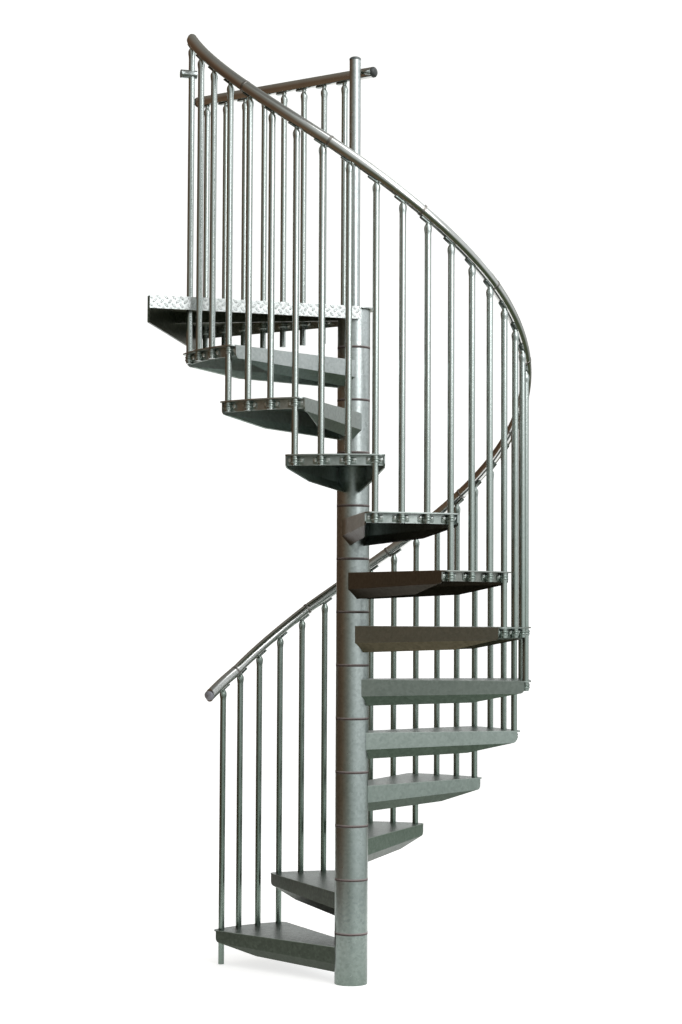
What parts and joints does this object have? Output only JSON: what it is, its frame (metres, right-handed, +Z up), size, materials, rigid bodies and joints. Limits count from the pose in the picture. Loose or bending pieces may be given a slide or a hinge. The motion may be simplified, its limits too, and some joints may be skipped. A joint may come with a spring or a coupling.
{
  "type": "spiral staircase",
  "caption": "Galvanised steel spiral staircase with folded sheet treads on a stacked column, thin clamped balusters, a round climbing handrail and a wedge-shaped landing.",
  "frame": {"origin": "on the stair's axis at the flat foot of the column, where it rests on the floor", "axes": "+Z up along the column; the landing's middle line points 172.5 degrees counterclockwise from +X, and the stair climbs clockwise seen from above"},
  "size_m": [1.4605, 1.3795, 3.6134],
  "materials": {
    "galvanised_steel": "hot-dip galvanised, satin",
    "galvanised_tread": "hot-dip galvanised chequer plate, satin",
    "polished_rail": "smooth drawn tube, bright",
    "dark_plastic": "moulded, matt"
  },
  "bodies": {
    "root": {"baluster_clamps_1": "galvanised_steel", "baluster_clamps_2": "galvanised_steel", "baluster_clamps_3": "galvanised_steel", "baluster_clamps_4": "galvanised_steel", "balusters_1": "galvanised_steel", "balusters_2": "galvanised_steel", "balusters_3": "galvanised_steel", "balusters_4": "galvanised_steel", "centre_pole": "galvanised_steel", "column_sleeves": "galvanised_steel", "handrail_1": "polished_rail", "handrail_2": "polished_rail", "handrail_3": "polished_rail", "handrail_4": "polished_rail", "landing_balusters": "galvanised_steel", "landing_clamps": "galvanised_steel", "landing_deck": "galvanised_tread", "landing_fascia": "galvanised_steel", "landing_rail": "polished_rail", "landing_rail_brackets": "galvanised_steel", "landing_rail_caps": "dark_plastic", "landing_rail_stay": "galvanised_steel", "landing_rib": "galvanised_steel", "pole_cap": "galvanised_steel", "rail_brackets_1": "galvanised_steel", "rail_brackets_2": "galvanised_steel", "rail_brackets_3": "galvanised_steel", "rail_brackets_4": "galvanised_steel", "rail_collars": "polished_rail", "rail_cross_tube": "polished_rail", "rail_end_caps": "dark_plastic", "spacer_rings": "dark_plastic", "tread_01": "galvanised_tread", "tread_02": "galvanised_tread", "tread_03": "galvanised_tread", "tread_04": "galvanised_tread", "tread_05": "galvanised_tread", "tread_06": "galvanised_tread", "tread_07": "galvanised_tread", "tread_08": "galvanised_tread", "tread_09": "galvanised_tread", "tread_10": "galvanised_tread", "tread_11": "galvanised_tread", "tread_12": "galvanised_tread"}
  },
  "joints": []
}
